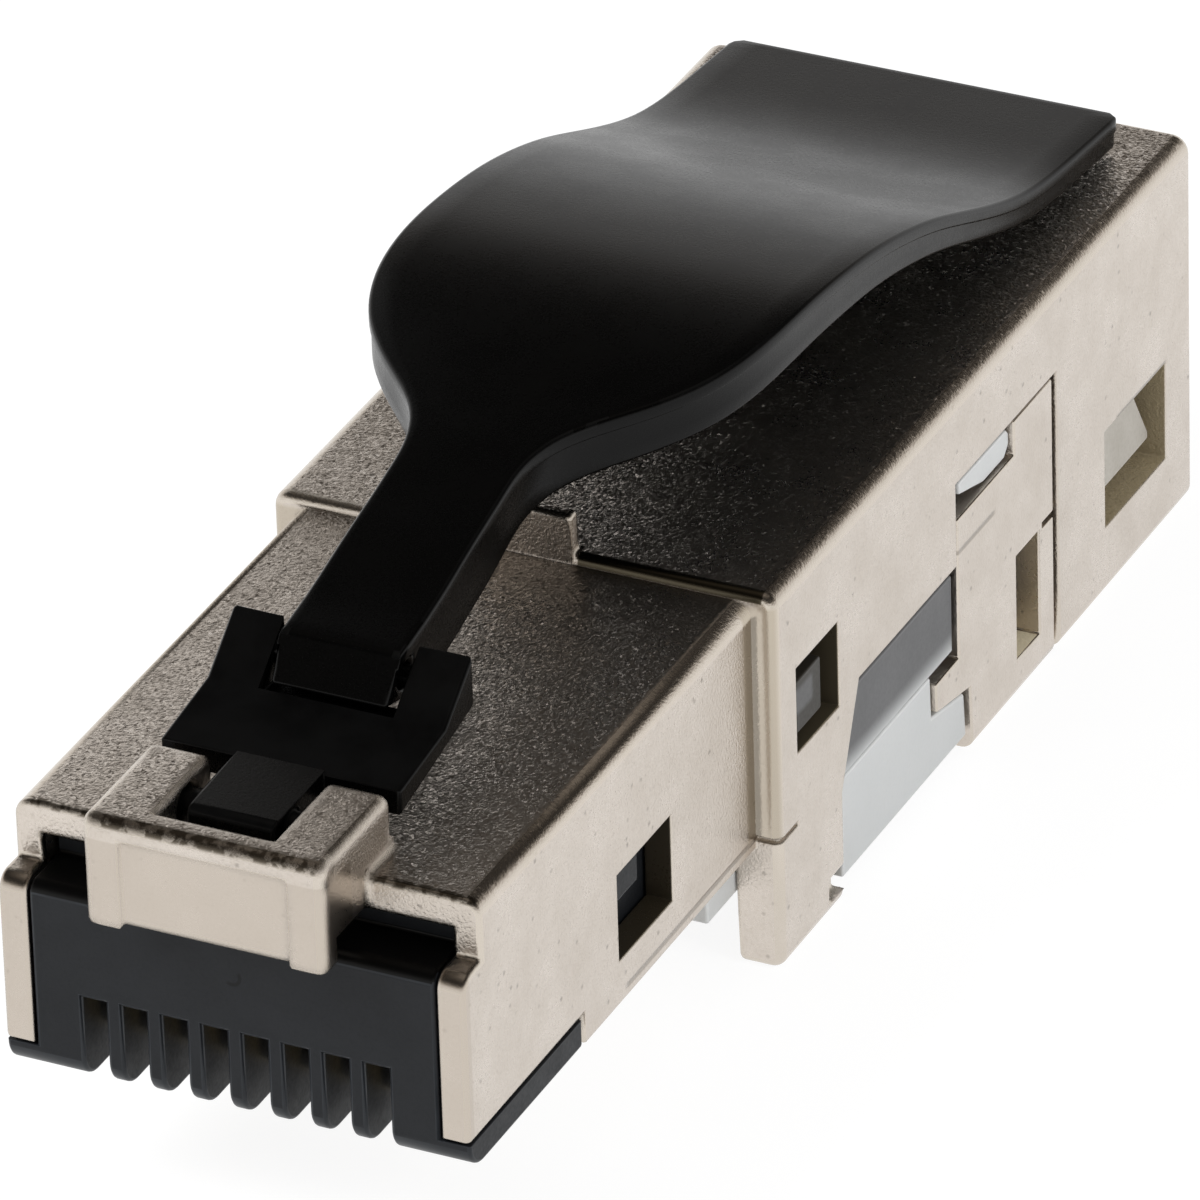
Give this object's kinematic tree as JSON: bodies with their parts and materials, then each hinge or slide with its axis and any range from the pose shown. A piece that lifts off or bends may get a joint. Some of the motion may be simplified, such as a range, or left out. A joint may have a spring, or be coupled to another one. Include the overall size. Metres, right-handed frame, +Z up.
{
  "type": "ethernet plug",
  "caption": "Shielded modular data plug with a die-cast shell, a bracket-held latch and a long curved release lever, for assembly on a cable in the field.",
  "frame": {"origin": "middle of the footprint, on the resting plane under the wide body", "axes": "-Y points out of the nose, the way the plug enters its socket; +Y points along the cable; +Z points up towards the lever; +X is to the right seen from the nose"},
  "size_m": [0.013, 0.0406, 0.015],
  "materials": {
    "die_cast": "satin",
    "slate_plastic": "matte",
    "contact_gold": "polished",
    "board_green": "gloss",
    "tinned_bronze": "satin",
    "grey_plastic": "matte",
    "pale_plastic": "satin",
    "spring_steel": "satin",
    "lever_black": "satin"
  },
  "bodies": {
    "plug": {"main_shell": "die_cast", "lower_cover": "die_cast", "contact_carrier": "slate_plastic", "circuit_board": "board_green", "idc_block": "grey_plastic", "wire_manager": "pale_plastic", "cable_clamp": "spring_steel", "contact_1": "contact_gold", "contact_2": "contact_gold", "contact_3": "contact_gold", "contact_4": "contact_gold", "contact_5": "contact_gold", "contact_6": "contact_gold", "contact_7": "contact_gold", "contact_8": "contact_gold", "idc_1": "tinned_bronze", "idc_2": "tinned_bronze", "idc_3": "tinned_bronze", "idc_4": "tinned_bronze", "idc_5": "tinned_bronze", "idc_6": "tinned_bronze", "idc_7": "tinned_bronze", "idc_8": "tinned_bronze"},
    "latch": {"latch_tab": "lever_black"},
    "lever": {"release_paddle": "lever_black"}
  },
  "joints": [
    {"name": "latch_pivot", "type": "hinge", "parent": "plug", "child": "latch", "pos_m": [0, -0.01795, 0.01055], "axis": [1, 0, 0], "range_deg": [-10, 0], "stiffness_Nm_per_rad": 0.1},
    {"name": "lever_knuckle", "type": "hinge", "parent": "latch", "child": "lever", "pos_m": [0, -0.01293, 0.01183], "axis": [1, 0, 0], "range_deg": [0, 11.8]}
  ],
  "couplings": [
    {"joint": "lever_knuckle", "follows": "latch_pivot", "ratio": -1.16}
  ]
}
